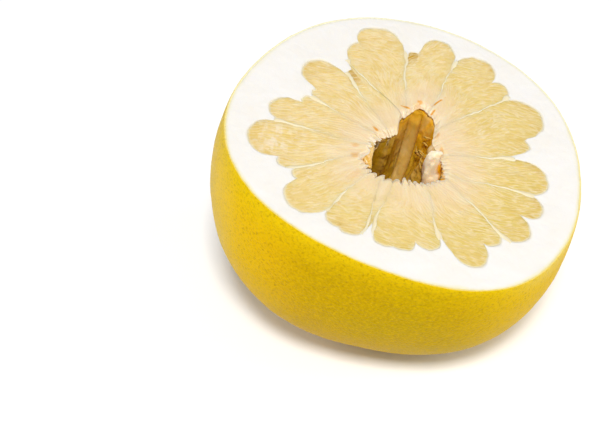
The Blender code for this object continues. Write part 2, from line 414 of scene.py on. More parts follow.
def skin_material():
    """Waxy yellow skin with oil glands, a little greener in places. Painted light makes it lighter on the
    flanks, near the cut and on the far rim, with a painted sheen at its edges.
    """
    paint = Paint("pomelo_skin", (0.55, 0.31, 0.0), 0.42, 0.03, (0.08, (1.0, 0.6, 0.1), 0.0015))
    paint.fix(Specular_Tint=(1.0, 0.7, 0.0, 1.0))
    grain = paint.noise(850.0, 3.0, 0.6)
    glands = paint.texture("Voronoi", "Distance", Scale=980.0)
    paint.coat(paint.noise(9.0, 3.0), (0.52, 0.315, 0.0), 0.4, 0.7)
    paint.coat("green", (0.44, 0.305, 0.001), strength=0.8)
    # Painted light: the flanks are lighter, as where the side lamps fall.
    paint.coat("sides", (0.72, 0.45, 0.004))
    # Painted light: lighter near the cut and towards the left.
    paint.coat("upper", (0.66, 0.445, 0.003))
    paint.coat(glands, (0.38, 0.22, 0.0), 0.5, 0.0, 0.36)
    paint.coat(grain, (0.66, 0.41, 0.001), 0.50, 0.70, 0.6)
    paint.coat(grain, (0.37, 0.215, 0.0), 0.46, 0.32, 0.55)
    # Painted sheen: pale where the flanks turn edge-on, and painted light along the cut's right edge.
    paint.coat("painted_sheen", (0.72, 0.55, 0.14))
    paint.coat("rim", (0.76, 0.66, 0.30))
    # Painted light on the far rim's corner, which faces away from the lamps.
    paint.coat("painted_far_rim_light", (0.87, 0.84, 0.58))
    paint.coat("scar", (0.22, 0.12, 0.04))
    paint.wire(paint.shader.inputs["Roughness"], paint.mapped(grain, 0.3, 0.7, 0.34, 0.52))
    return paint.finish(paint.sum(paint.mapped(glands, 0.0, 0.6), grain, 0.5), 0.0003, 0.7)


def pith_material():
    """Soft white pith, faintly yellow against the skin."""
    paint = Paint("pomelo_pith", (0.755, 0.73, 0.69), 0.75, 0.2, (0.25, (1.0, 0.85, 0.6), 0.003))
    cloud = paint.noise(60.0, 4.0, 0.6)
    paint.coat(cloud, (0.745, 0.71, 0.65), 0.35, 0.7)
    paint.coat("near_skin", (0.77, 0.69, 0.40))
    paint.coat("near_pulp", (0.69, 0.58, 0.33))
    return paint.finish(paint.sum(paint.noise(900.0, 2.0, 0.7), cloud), 0.00015, 0.5)


def pulp_material():
    """Juicy straw-yellow vesicles with paler skins between them, some pale streaks being painted highlight
    and the torn tissue partly painted shade.
    """
    paint = Paint("pomelo_pulp", (0.69, 0.505, 0.175), 0.34, 0.45, (0.35, (1.0, 0.72, 0.30), 0.004))
    fine = paint.noise(700.0, 3.0, 0.6)
    creamy = paint.noise(240.0, 3.0, 0.6)
    paint.coat("cell", (0.74, 0.575, 0.275))
    paint.coat(paint.noise(70.0), (0.665, 0.465, 0.15), 0.4, 0.75, 0.4)
    paint.coat(creamy, (0.745, 0.615, 0.37), 0.5, 0.7, 0.65)
    paint.coat(creamy, (0.645, 0.455, 0.12), 0.45, 0.3, 0.6)
    paint.coat("olive", (0.62, 0.465, 0.115))
    paint.coat("ripe", (0.50, 0.29, 0.03))
    paint.coat("near_core", (0.735, 0.565, 0.35))
    # Pale fibre streaks along the vesicles, partly their own texture and partly painted highlight.
    paint.coat("fibre", (0.76, 0.635, 0.42), 0.48, 0.82, 0.7)
    paint.coat("skin_line", (0.745, 0.61, 0.35))
    paint.coat("edge", (0.74, 0.67, 0.49))
    # Paler torn tissue at the hollow, and painted highlight streaks on the left lobe.
    paint.coat("pale", (0.76, 0.66, 0.51))
    paint.coat("stain", (0.68, 0.28, 0.004))
    # Tan of the torn tissue at the hollow, deepened as painted shade further down and in the gaps.
    paint.coat("brown", (0.66, 0.37, 0.06))
    paint.wire(paint.shader.inputs["Roughness"], paint.mapped(fine, 0.3, 0.7, 0.26, 0.46))
    return paint.finish(fine, 0.0001, 0.3)


def membrane_material():
    """Thin pale walls between the segments."""
    paint = Paint("pomelo_membrane", (0.745, 0.665, 0.46), 0.5, 0.4, (0.3, (1.0, 0.8, 0.5), 0.002))
    paint.coat(paint.noise(160.0, 3.0), (0.735, 0.615, 0.375), 0.35, 0.7)
    return paint.finish(paint.noise(1200.0), 0.0001, 0.4)


def core_material():
    """Dry brown tissue of the hollow, paler along its ridges, orange at the far right partly as painted
    light, and with painted shade at the near left and deep down.
    """
    paint = Paint("pomelo_core", (0.56, 0.31, 0.014), 0.65, 0.1, (0.2, (1.0, 0.5, 0.12), 0.003))
    # Orange at the far right, partly the tissue's own and partly painted light.
    paint.coat("orange", (0.80, 0.38, 0.002))
    paint.coat("ridge", (0.66, 0.44, 0.15))
    paint.coat(paint.noise(110.0, 4.0, 0.6), (0.50, 0.26, 0.01), 0.4, 0.7, 0.5)
    # Painted shade: darker at the near left and deep down.
    paint.coat("painted_shade", (0.32, 0.15, 0.0))
    return paint.finish(paint.noise(700.0), 0.0003, 0.6)


def flesh_material():
    """Torn pale tissue at the core: near white on top, pinker and browner further down."""
    paint = Paint("pomelo_torn_flesh", (0.80, 0.72, 0.58), 0.6, 0.2, (0.5, (1.0, 0.75, 0.45), 0.004))
    paint.coat(paint.noise(200.0, 3.0), (0.78, 0.67, 0.50), 0.35, 0.7)
    paint.coat("blush", (0.92, 0.70, 0.43))
    paint.coat("shade", (0.80, 0.50, 0.22))
    paint.coat("orange", (0.90, 0.36, 0.0))
    return paint.finish(paint.noise(900.0), 0.0001, 0.5)


SKIN = skin_material()
PITH = pith_material()
PULP = pulp_material()
MEMBRANE = membrane_material()
CORE = core_material()
FLESH = flesh_material()


# ---- skin

SKIN_COLUMNS = 640
SKIN_ROWS = 128
FLAT_ROWS = 4
INNER_ROWS = 8
PROFILE_STEPS = 1601
FLAVEDO = 0.75
CUT_BEVEL = 0.14
GLAND_SPACING = 2.1
GLAND_DEPTH = 0.13
SCAR_DEPTH = 1.3
SCAR_RADII = (1.4, 3.6)
GREEN_HEADING = math.radians(-60)
# How much of the cut edge's colour the rows of the skin's edge have
RIM_SHARES = (0.3, 0.75, 1.0, 1.0)


def girth_share(heading):
    """The fruit's girth at each heading, as a share of its mean."""
    share = 1.0
    for count, size, crest in SWELLS:
        share = share + size * np.cos(count * (heading - crest))
    return share


def skin_profile():
    """Mean radius and height along the fruit from the blossom end to the crown."""
    flat_share = (RESTING_RADIUS / GIRTH_RADIUS) ** ROUNDNESS
    lower = GIRTH_HEIGHT / (1 - flat_share) ** (1 / ROUNDNESS)
    turn = np.linspace(-math.pi / 2, math.pi / 2, PROFILE_STEPS)
    radius = GIRTH_RADIUS * np.abs(np.cos(turn)) ** (2 / ROUNDNESS)
    rise = np.abs(np.sin(turn)) ** (2 / ROUNDNESS)
    height = GIRTH_HEIGHT + np.where(turn > 0, rise * CROWN_HEIGHT, -rise * lower)
    return radius, height


def skin_sheet():
    """The skin as a grid, from the edge of the resting spot up to the cut, one column a heading."""
    radius, height = skin_profile()
    heading = np.linspace(0, math.tau, SKIN_COLUMNS, endpoint=False)
    share = girth_share(heading)
    points = np.stack([
        radius[:, None] * share * np.cos(heading),
        radius[:, None] * share * np.sin(heading),
        np.repeat(height[:, None], SKIN_COLUMNS, 1),
    ], -1)
    above = to_cut(points)[..., 2]
    length = np.concatenate([[0], np.cumsum(np.hypot(np.diff(radius), np.diff(height)))])
    start = np.interp(0.0, height, length)
    sheet = np.zeros((SKIN_ROWS, SKIN_COLUMNS, 3))
    for column in range(SKIN_COLUMNS):
        crossing = int(np.argmax(above[:, column] >= 0))
        part = -above[crossing - 1, column] / (above[crossing, column] - above[crossing - 1, column])
        end = length[crossing - 1] + part * (length[crossing] - length[crossing - 1])
        places = np.linspace(start, end, SKIN_ROWS)
        for axis in range(3):
            sheet[:, column, axis] = np.interp(places, length, points[:, column, axis])
    return sheet


def peel_relief(points):
    """How far the skin stands out: broad swells, and a dimple at each oil gland."""
    relief = 0.35 * noise(points, 22.0, 3, 2) + 0.10 * noise(points, 5.0, 7, 2)
    pits = dimples(points, GLAND_SPACING, 11)
    relief -= GLAND_DEPTH * (1 - smoothstep(0.05, 0.5, pits))
    relief += 0.05 * noise(points, 1.4, 13)
    return relief


def scar_share(points):
    """1 at the blossom scar's centre, 0 away from it."""
    centre = np.array([math.cos(SCAR_HEADING), math.sin(SCAR_HEADING)]) * SCAR_DISTANCE
    away = np.hypot(points[..., 0] - centre[0], points[..., 1] - centre[1])
    return np.where(points[..., 2] < GIRTH_HEIGHT / 2, 1 - smoothstep(*SCAR_RADII, away), 0.0)


def skin_rows(sheet):
    """Rows of the closed skin: flat spot, outside, cut edge, inside, and the flat spot's inside."""
    outward = normals_of(sheet)
    at_foot = smoothstep(0, 5, sheet[..., 2])
    outside = sheet + outward * (peel_relief(sheet) * at_foot - SCAR_DEPTH * scar_share(sheet))[..., None]
    outside[..., 2] = np.maximum(outside[..., 2], 0.0)
    edge = to_cut(outside[-1])
    edge[:, 2] = 0.0
    inward = -directions(edge)
    shoulder = edge + inward * 0.12
    shoulder[:, 2] = 0.0
    edge[:, 2] = -CUT_BEVEL
    outside[-1] = from_cut(edge)
    inner_edge = edge + inward * (FLAVEDO + 0.22 * noise(edge, 6.0, 5, 2))[:, None]
    inner_edge[:, 2] = 0.0
    middle = (shoulder + inner_edge) / 2
    middle[:, 2] = 0.03
    rim_rows = [from_cut(row) for row in (shoulder, middle, inner_edge - inward * 0.08, inner_edge)]
    picks = np.linspace(SKIN_ROWS - 3, 0, INNER_ROWS).astype(int)
    inside = sheet[picks] - outward[picks] * FLAVEDO
    flat = [sheet[0] * np.array([share, share, 0.0]) for share in np.linspace(0, 1, FLAT_ROWS + 1)[1:-1]]
    floor = [row + np.array([0, 0, FLAVEDO]) for row in flat[::-1]]
    return np.array(flat + list(outside) + rim_rows + list(inside) + floor), inner_edge


def skin_looks(vertices, rim_share):
    """How strong each coat of the skin's colour is at each vertex, painted light and sheen among them."""
    place = to_cut(vertices)
    below, x = -place[:, 2], vertices[:, 0]
    # Painted light: the rim's corner on the far side is made paler, where it would fall in shade.
    painted_far_rim_light = smoothstep(-25, 60, place[:, 1]) * (1 - smoothstep(0.1, 1.0, below))
    heading = np.arctan2(vertices[:, 1], x)
    patchy = noise(vertices, 30.0, 21, 3)
    # Painted light: lighter within 16 mm of the cut, more to the left, and most within 5 mm of it.
    upper = smoothstep(16, 0, below) * (0.35 + 0.45 * smoothstep(10, -60, x))
    across = np.abs(x) / np.maximum(np.linalg.norm(vertices - [0, 0, GIRTH_HEIGHT], axis=1), 1)
    # Painted light along the cut's right edge; with the flanks seen edge-on it makes the painted sheen.
    edge_light = smoothstep(9, 1, below) * smoothstep(30, 62, x)
    painted_sheen = np.maximum(0.55 * smoothstep(0.8, 1.0, across), 0.45 * edge_light)
    return {
        "green": smoothstep(-0.2, 1.1, 0.7 * np.cos(heading - GREEN_HEADING) + 0.6 * patchy),
        "rim": rim_share,
        "painted_far_rim_light": painted_far_rim_light * np.maximum(rim_share, 0.75),
        "scar": scar_share(vertices) * smoothstep(-1, 0.6, noise(vertices, 1.2, 4, 2) + 0.4),
        "upper": unit(upper + 0.6 * smoothstep(5, 0, below)),
        # Painted light: the flanks are lighter, the right one from nearer the middle.
        "sides": 0.85 * np.where(x > 0, smoothstep(0.15, 0.7, across), smoothstep(0.5, 0.9, across)),
        "painted_sheen": unit(painted_sheen * (0.9 + 0.5 * patchy)),
    }


def build_skin(sheet):
    """A closed skin: outside, cut edge, and the inside that lies on the pith."""
    grid, inner_edge = skin_rows(sheet)
    count = len(grid)
    vertices = np.concatenate([grid.reshape(-1, 3), [[0, 0, 0], [0, 0, FLAVEDO]]])
    cut_rows = np.zeros(count)
    first_cut = FLAT_ROWS - 1 + SKIN_ROWS
    cut_rows[first_cut:first_cut + len(RIM_SHARES)] = RIM_SHARES
    cut_rows[first_cut + len(RIM_SHARES):] = 1.0
    rim_share = np.append(np.repeat(cut_rows, SKIN_COLUMNS), [0, 0])
    looks = skin_looks(vertices, rim_share)
    make_object("skin", vertices, fanned_faces(count, SKIN_COLUMNS), SKIN, looks)
    return inner_edge


# ---- pith

PITH_COLUMNS = 1100
PITH_ROWS = 20
PITH_DEPTH = 6.0


def rim_curve(inner_edge):
    """Radius of the skin's inner edge at any heading about the core."""
    radius, heading = radius_and_heading(inner_edge)
    heading = heading % math.tau
    order = np.argsort(heading)
    return lambda query: np.interp(query % math.tau, heading[order], radius[order], period=math.tau)


def build_pith(rim_radius):
    """The ring of pith between the skin and the lobes of pulp, closed underneath."""
    heading = np.linspace(0, math.tau, PITH_COLUMNS, endpoint=False)
    inner, _ = lobe_reach(heading)
    outer = rim_radius(heading)
    rows = [
        polar(inner + 0.6, heading, -PITH_DEPTH),
        polar(inner, heading, -2.0),
        polar(inner, heading, -0.7),
    ]
    for share in np.append(np.linspace(0, 0.99, PITH_ROWS) ** 1.3, 1.0):
        radius = inner + (outer - inner) * share
        points = polar(radius, heading)
        relief = 0.20 * noise(points, 8.0, 31, 3) + 0.05 * noise(points, 1.6, 33)
        calm = smoothstep(0, 2.5, outer - radius)
        points[:, 2] = relief * calm - 0.12 * (1 - smoothstep(0, 0.9, radius - inner))
        rows.append(points)
    rows.append(polar(outer + 0.25, heading, -1.0))
    rows.append(polar(outer + 0.1, heading, -PITH_DEPTH))
    grid = np.array(rows)
    radius, _ = radius_and_heading(grid)
    from_skin = outer - radius
    from_pulp = radius - inner
    grid = warp(grid, smoothstep(0.5, 4.0, from_skin))
    near_skin = (1 - smoothstep(-0.3, 1.4, from_skin)) ** 1.3 * (0.9 + 0.3 * noise(grid, 9.0, 35))
    near_skin = near_skin * (1 - 0.45 * smoothstep(-25, 60, grid[..., 1]))
    near_pulp = 0.6 * (1 - smoothstep(-0.2, 1.0, from_pulp)) * (0.85 + 0.4 * noise(grid, 3.0, 37))
    make_object(
        "pith", from_cut(grid.reshape(-1, 3)), grid_faces(len(rows), PITH_COLUMNS, wrap_rows=True),
        PITH,
        {"near_skin": unit(near_skin), "near_pulp": unit(near_pulp)},
    )


# ---- pulp

GRAIN = 0.30
PULP_DEPTH = 5.0
PULP_LEVEL = -0.22
WALL_GAP = 0.05
VESICLE_LENGTH = 8.5
VESICLE_WIDTH = 1.35
LENGTH_SHARES = (0.7, 1.35)
WIDTH_SHARES = (0.8, 1.25)
STRAYING = 0.09
PACKING = 0.82
TRIES_PER_AREA = 2.5
DOME = 0.09
OLIVE_HEADING = math.radians(318)

# Orange stains on the pulp: heading, distance, half length, half width, turn in degrees, strength
STAINS = (
    (74, 30.2, 1.3, 0.9, 0, 0.8), (85.5, 24.6, 2.2, 0.65, -8, 0.95), (62.4, 34.3, 3.4, 0.45, 50, 1.0),
    (61, 28.6, 1.8, 0.45, 55, 0.9), (142, 14.3, 1.4, 0.75, -52, 0.9), (186, 20.5, 1.5, 1.1, 20, 0.4),
    (199, 21.5, 2.4, 1.3, 15, 0.5), (324, 19.0, 1.5, 0.8, -15, 1.0), (205, 17.5, 2.4, 1.8, 60, 0.7),
    (231, 43, 1.2, 0.6, 60, 0.3), (38, 19.0, 1.6, 0.7, 60, 0.5), (12, 16.5, 2.6, 0.8, 95, 0.6),
    (342, 16.2, 6.5, 0.9, 96, 0.95), (74, 28.5, 2.6, 1.6, 60, 0.35), (318, 36, 4.0, 1.6, 20, 0.14),
    (150, 24, 4.0, 1.5, 140, 0.12), (222, 27, 4.0, 2.0, 40, 0.16),
)


def along_and_aside(away, turn):
    """Parts of offsets in the cut's plane along a direction in radians, and square to it."""
    cosine, sine = np.cos(turn), np.sin(turn)
    return away[..., 0] * cosine + away[..., 1] * sine, away[..., 1] * cosine - away[..., 0] * sine


def stain_share(points):
    """How stained the tissue is, from 0 to 1."""
    total = np.zeros(points.shape[:-1])
    ragged = 1 + 0.5 * noise(points, 1.1, 41, 2)
    for heading, distance, half_length, half_width, turn, strength in STAINS:
        centre = distance * np.array([math.cos(math.radians(heading)), math.sin(math.radians(heading))])
        away = points[..., :2] - centre
        along, aside = along_and_aside(away, math.radians(turn))
        spread = np.sqrt((along / half_length) ** 2 + (aside / half_width) ** 2) * ragged
        total = np.maximum(total, strength * (1 - smoothstep(0.4, 1.3, spread)))
    return total


def scatter_vesicles(inside, low, high, grain_at, random):
    """Vesicles packed side by side: centre, direction and size of each, in the cut's plane."""
    centres, turns, sizes = [], [], []
    tries = int((high[0] - low[0]) * (high[1] - low[1]) * TRIES_PER_AREA)
    candidates = low + (high - low) * random.random((tries, 2))
    candidates = candidates[inside(candidates)]
    directions = grain_at(candidates)
    for place, turn in zip(candidates, directions):
        turn = turn + random.normal(0, STRAYING)
        scale = random.uniform(*LENGTH_SHARES)
        if centres:
            along, aside = along_and_aside(place - np.array(centres), np.array(turns))
            spread = np.hypot(along / VESICLE_LENGTH, aside / VESICLE_WIDTH)
            if spread.min() < PACKING:
                continue
        centres.append(place)
        turns.append(turn)
        sizes.append((VESICLE_LENGTH * scale, VESICLE_WIDTH * random.uniform(*WIDTH_SHARES)))
    return np.array(centres), np.array(turns), np.array(sizes)


def vesicle_field(points, centres, turns, sizes, tones):
    """For each point: distance from its vesicle's axis, from the skin between two, tone and fibre."""
    flat = points.reshape(-1, 2)
    nearest = np.full(len(flat), 1e9)
    second = np.full(len(flat), 1e9)
    tone = np.zeros(len(flat))
    fibre = np.zeros((len(flat), 3))
    for index in range(len(centres)):
        along, aside = along_and_aside(flat - centres[index], turns[index])
        aside = aside + 0.07 * along * along / VESICLE_LENGTH * (tones[index] - 0.35)
        spread = np.sqrt((along / sizes[index, 0]) ** 2 + (aside / sizes[index, 1]) ** 2)
        closer = spread < nearest
        second = np.where(closer, nearest, np.minimum(second, spread))
        tone = np.where(closer, tones[index], tone)
        fibre[closer] = np.stack([along / 6.0, aside, np.full(len(flat), index * 3.0)], -1)[closer]
        nearest = np.where(closer, spread, nearest)
    fields = (nearest, second - nearest, tone, noise(fibre, 0.45, 68, 2))
    return [field.reshape(points.shape[:-1]) for field in fields]


# Torn ends of the vesicles at the hollow, in millimetres. The near and the left ones are longer.
TOOTH_WIDTHS = (1.1, 2.4)
TOOTH_LENGTHS = (0.2, 0.8)
NEAR_EXTRA = (1.0, 3.4)
LEFT_EXTRA = (0.2, 1.4)
TOOTH_ROUNDNESS = 2.4
HANG_DEPTHS = (0.5, 1.2, 2.2, 3.5, 5.0, 7.0, 9.5)


def cut_teeth(random):
    """Torn ends of the vesicles all round the hollow: heading, width and length of each."""
    teeth = []
    heading = 0.0
    while heading < math.tau:
        degrees = math.degrees(heading)
        near = bell(degrees, 250, 48)
        left = bell(degrees, 145, 42)
        width = random.uniform(*TOOTH_WIDTHS) * (1 + 0.5 * near) / hollow_rim(heading)
        length = random.uniform(*TOOTH_LENGTHS) + near * random.uniform(*NEAR_EXTRA)
        length = length + left * random.uniform(*LEFT_EXTRA)
        teeth.append((heading, width, length))
        heading += width
    return np.array(teeth)


TEETH = cut_teeth(np.random.default_rng(31))


def tooth_at(heading):
    """Which of the teeth is at each heading."""
    return np.clip(np.searchsorted(TEETH[:, 0], heading % math.tau, side="right") - 1, 0, len(TEETH) - 1)


def tooth_length(heading):
    """How far the torn end of the pulp reaches into the hollow at each heading."""
    index = tooth_at(heading)
    share = unit((heading % math.tau - TEETH[index, 0]) / TEETH[index, 1])
    return TEETH[index, 2] * (1 - np.abs(2 * share - 1) ** TOOTH_ROUNDNESS)


def hang_depth(heading):
    """How far down the hollow the pale tissue hangs at each heading."""
    degrees = np.degrees(heading) % 360
    uneven = 0.55 + 0.9 * lattice(tooth_at(heading), 0, 0, 5)
    right = bell(turn_from(heading, 15), 0, 30)
    left = bell(degrees, 132, 48)
    near = bell(degrees, 255, 50)
    return (0.8 + 4.0 * right + 1.4 * left + 3.0 * near) * uneven


def segment_columns(wall, next_wall):
    """Headings of the columns of one segment at the pith and at the core, and the pulp's reach."""
    outer_turn = math.radians(next_wall[0] - wall[0])
    count = max(14, int(outer_turn * 60.0 / GRAIN))
    share = np.linspace(0, 1, count)
    outer = np.radians(wall[0] + (next_wall[0] - wall[0]) * share)
    inner = np.radians(wall[1] + (next_wall[1] - wall[1]) * share)
    reach, ripe = lobe_reach(outer)
    return share, outer, inner, reach, ripe


def grain_direction(places, number, swirl):
    """Direction of the vesicles: out from the core at first, then more along the cut's own x."""
    radius, heading = radius_and_heading(places)
    reach, _ = lobe_reach(heading)
    across = smoothstep(30, 10, reach - radius) * smoothstep(20, 34, radius)
    turn = (math.pi / 2 - heading) % math.pi - math.pi / 2
    layered = np.stack([places[:, 0], places[:, 1], np.full(len(places), number * 9.0)], -1)
    return heading + across * (0.85 * turn + swirl) + 0.35 * noise(layered, 13.0, 61)


def hanging_levels(inner, top, ring, columns):
    """Points below the edge of a segment's face, level by level. The end at the hollow tapers off."""
    axis = np.array([*HOLLOW_AXIS, 0.0])
    rim = polar(hollow_rim(inner), inner)
    outward = directions(rim - axis)
    length = tooth_length(inner)
    hang = hang_depth(inner)
    radius, heading = radius_and_heading(top[ring])
    # Painted shade: the segments' sides turn brown deep in the gaps near the hollow.
    painted_gap_shade = 0.9 * smoothstep(5.0, 1.5, radius - hollow_rim(heading))
    levels, brown = [], []
    for depth in HANG_DEPTHS:
        level = top[ring].copy()
        level[:, 2] -= depth * PULP_DEPTH / HANG_DEPTHS[-1]
        share = np.clip(depth / hang, 0, 1.6)
        inward = length * unit(1 - share) ** 0.7 - 0.4 - 1.6 * unit(share - 0.75)
        inward = inward + smoothstep(0.5, 3.0, depth) * smoothstep(1.5, 4.0, hang)
        end = hollow_wall(inner, depth) - outward * inward[:, None]
        end[:, 2] = top[ring[:columns], 2] - depth
        level[:columns] = end
        levels.append(level)
        tint = painted_gap_shade * smoothstep(0.4, 1.2, depth)
        # The hanging tissue browns further down and at the upper left: its own tan, deepened as painted
        # shade.
        tint[:columns] = 0.35 + 0.65 * smoothstep(0.15, 1.0, share + 0.35 * noise(end, 1.5, 58))
        tint[:columns] *= 1 - 0.8 * bell(turn_from(inner, 345), 0, 22)
        tint[:columns] = unit(tint[:columns] + 0.5 * bell(np.degrees(inner) % 360, 135, 35))
        brown.append(tint)
    return levels, brown


def edge_of(rows, columns):
    """Indices of the vertices round the edge of a grid. Its first row comes first."""
    return np.concatenate([
        np.arange(columns),
        np.arange(1, rows) * columns + columns - 1,
        np.arange(columns - 2, -1, -1) + (rows - 1) * columns,
        np.arange(rows - 2, 0, -1) * columns,
    ])


def hanging_faces(ring, start, count):
    """Faces from a ring of vertices down over a count of levels, and one that closes the lowest."""
    faces = []
    after = np.roll(np.arange(len(ring)), -1)
    upper = ring
    for index in range(count):
        lower = start + index * len(ring) + np.arange(len(ring))
        faces += np.stack([upper, lower, lower[after], upper[after]], -1).tolist()
        upper = lower
    faces.append(upper[::-1].tolist())
    return faces


def segment_room(outer, radius, heading):
    """A test of whether places in the cut's plane lie in the segment, or a little beside it."""
    middle = (outer[0] + outer[-1]) / 2

    def inside(places):
        """Whether each place is in the segment."""
        place_radius, place_heading = radius_and_heading(places)
        place_heading = middle + (place_heading - middle + math.pi) % math.tau - math.pi
        low = np.interp(place_radius, radius[:, 0], heading[:, 0])
        high = np.interp(place_radius, radius[:, -1], heading[:, -1])
        slack = 1.5 / np.maximum(place_radius, 5)
        return (
            (place_heading > low - slack) & (place_heading < high + slack)
            & (place_radius < lobe_reach(place_heading)[0] + 1)
            & (place_radius > hollow_rim(place_heading) - 3)
        )

    return inside


def pulp_looks(points, radius, heading, from_start, tip_depth, near_core, ripe, vesicles):
    """How strong each coat of the pulp's colour is at each point of a segment's face."""
    border, tone, fibre = vesicles
    degrees = np.degrees(heading) % 360
    patchy = noise(points, 5.0, 64, 2)
    blotch = noise(points, 3.0, 67, 2)
    spokes = noise(np.stack([heading * 24.0, radius * 0.16, np.zeros_like(radius)], -1), 1.3, 66, 2)
    fibre = fibre * (1 - near_core) + spokes * near_core
    skin_line = (1 - smoothstep(0.02, 0.36, border)) * np.clip(0.35 + 0.7 * patchy, 0.05, 0.8)
    pale = smoothstep(4.5, 0.3, from_start) * unit(0.7 + 0.5 * noise(points, 2.0, 65))
    pale = pale * (0.2 + 0.8 * smoothstep(105, 75, np.abs(degrees - 250)))
    # Painted highlight: pale glinting streaks on the left lobe.
    streaks = smoothstep(0.0, 0.5, noise(points * [2.2, 0.7, 0.0], 3.0, 69, 2))
    left_lobe_highlight = bell(points[..., 0], -52, 6) * bell(points[..., 1], -5, 9)
    cap = smoothstep(0.9, 1.0, ripe) * smoothstep(9.5, 2.5, tip_depth)
    ripeness = 0.6 * ripe * smoothstep(10.0, 0.3, tip_depth) * np.clip(0.7 + 0.8 * blotch, 0, 1.3)
    cream = near_core * np.clip(1.0 + 0.45 * blotch + 0.3 * spokes, 0.4, 1)
    olive = 0.35 + 0.45 * np.cos(heading - OLIVE_HEADING) + 0.3 * patchy
    return {
        "cell": tone,
        "fibre": 0.5 + 0.5 * fibre,
        "skin_line": skin_line * (1 - 0.7 * near_core),
        "near_core": cream * (1 - 0.25 * bell(degrees, 260, 60)),
        "pale": np.maximum(pale, 0.75 * streaks * left_lobe_highlight),
        "ripe": ripeness + 0.8 * cap + 0.10 * np.maximum(0, blotch),
        "olive": smoothstep(26, 50, radius) * olive,
        "stain": stain_share(points),
        "edge": 0.8 * smoothstep(1.2, -0.1, tip_depth) * (1 - 0.8 * cap),
    }


def build_segment(number, wall, next_wall):
    """One segment's pulp: a cut face of vesicles over a closed body."""
    random = np.random.default_rng(100 + number)
    share, outer, inner, reach, ripe = segment_columns(wall, next_wall)
    start = hollow_rim(inner) + 0.5 - tooth_length(inner)
    rows = int((reach.max() - start.min()) / GRAIN)
    step = np.linspace(0, 1, rows)[:, None]
    radius = start + (reach + 0.35 - start) * step
    heading = wall_heading(outer, inner, radius, reach)
    first, last = heading[:, :1], heading[:, -1:]
    gap = WALL_GAP - 0.30 * smoothstep(44, 26, radius)
    margin = np.clip(gap / radius / np.abs(last - first), -0.1, 0.4)
    heading = heading + ((margin + share * (1 - 2 * margin)) - share) * (last - first)
    points = polar(radius, heading)
    flat = points[..., :2]
    tip_depth = reach - radius
    from_start = radius - start
    swirl = random.uniform(-0.35, 0.35)
    low, high = flat.reshape(-1, 2).min(0), flat.reshape(-1, 2).max(0)
    centres, turns, sizes = scatter_vesicles(
        segment_room(outer, radius, heading), low, high,
        lambda places: grain_direction(places, number, swirl), random,
    )
    tones = random.random(len(centres))
    nearest, border, tone, fibre = vesicle_field(flat, centres, turns, sizes, tones)

    near_core = smoothstep(24, 5, radius - hollow_rim(heading))
    dome = DOME * (1 - 0.5 * near_core) * np.sqrt(unit(1 - nearest ** 2 * 0.7))
    wall_side = np.minimum(share, 1 - share) * np.abs(last - first) * radius
    calm = smoothstep(0.0, 1.2, wall_side)
    height = PULP_LEVEL + 0.06 + calm * (dome * smoothstep(0.0, 0.35, border) - 0.06 + 0.02 * fibre)
    height = height + 0.22 * noise(points, 6.0, 63, 2)
    height = height - 0.10 * smoothstep(0.9, 0, tip_depth) - 0.05 * smoothstep(0.8, 0, wall_side)
    points[..., 2] = height - 1.5 * smoothstep(4.0, 0.0, from_start) ** 2
    looks = pulp_looks(
        points, radius, heading, from_start, tip_depth, near_core, ripe, (border, tone, fibre)
    )
    points = warp(points, smoothstep(2.0, 8.0, from_start))

    columns = radius.shape[1]
    ring = edge_of(rows, columns)
    top = points.reshape(-1, 3)
    levels, brown = hanging_levels(inner, top, ring, columns)
    faces = grid_faces(rows, columns, wrap_columns=False) + hanging_faces(ring, len(top), len(levels))
    for key, values in looks.items():
        full = unit(values).reshape(-1)
        looks[key] = np.concatenate([full] + [full[ring]] * len(levels))
    looks["brown"] = np.concatenate([np.zeros(len(top)), *brown])
    make_object(f"pulp_{number:02d}", from_cut(np.concatenate([top, *levels])), faces, PULP, looks)


# ---- walls between segments

WALL_HALF = 0.44
WALL_STEPS = 110
WALL_DEPTH = 4.5
# Section of a wall: share of its half width, height over its crest
WALL_SHAPE = (
    (-1.4, -WALL_DEPTH), (-1.2, -0.5), (-0.75, -0.12), (0.0, 0.0),
    (0.75, -0.12), (1.2, -0.5), (1.4, -WALL_DEPTH),
)


def build_walls():
    """Thin pale walls between neighbouring segments, from the hollow to the pith."""
    vertices, faces = [], []
    count = len(WALL_SHAPE)
    offsets, drops = np.array(WALL_SHAPE).T
    for number, wall in enumerate(WALLS[:-1]):
        outer, inner = np.radians(wall[0]), np.radians(wall[1])
        reach, _ = lobe_reach(outer)
        start = hollow_rim(inner) + 2.5
        radius = np.linspace(start, reach + 1.5, WALL_STEPS)
        heading = wall_heading(outer, inner, radius, reach)
        middle = polar(radius, heading)
        aside = np.stack([-np.sin(heading), np.cos(heading), np.zeros(WALL_STEPS)], -1)
        half = WALL_HALF * (0.8 + 0.5 * noise(middle, 4.0, 73))
        half = half + 0.35 * smoothstep(14, 3, reach - radius) + 0.6 * smoothstep(4, 0, reach - radius)
        half = half * (0.4 + 0.6 * smoothstep(18, 34, radius))
        crest = -0.60 + 0.62 * smoothstep(20, 38, radius) + 0.12 * noise(middle, 5.0, 75)
        grid = middle[:, None] + aside[:, None] * (half[:, None] * offsets)[..., None]
        grid[..., 2] = crest[:, None] + drops
        vertices.append(warp(grid, smoothstep(2.0, 8.0, radius - start + 2.5)[:, None]).reshape(-1, 3))
        faces += tube_faces(WALL_STEPS, count, number * WALL_STEPS * count)
    make_object("segment_walls", from_cut(np.concatenate(vertices)), faces, MEMBRANE)


# ---- hollow core

LINING_COLUMNS = 460
LINING_ROWS = 96
LINING_TOP = 1.6
LINING_THICKNESS = 1.2
HOLLOW_BOTTOM = 46.5
UNDERCUT = 1.15
UNDERCUT_HEADING = 344.0
UNDERCUT_SPREAD = 32.0
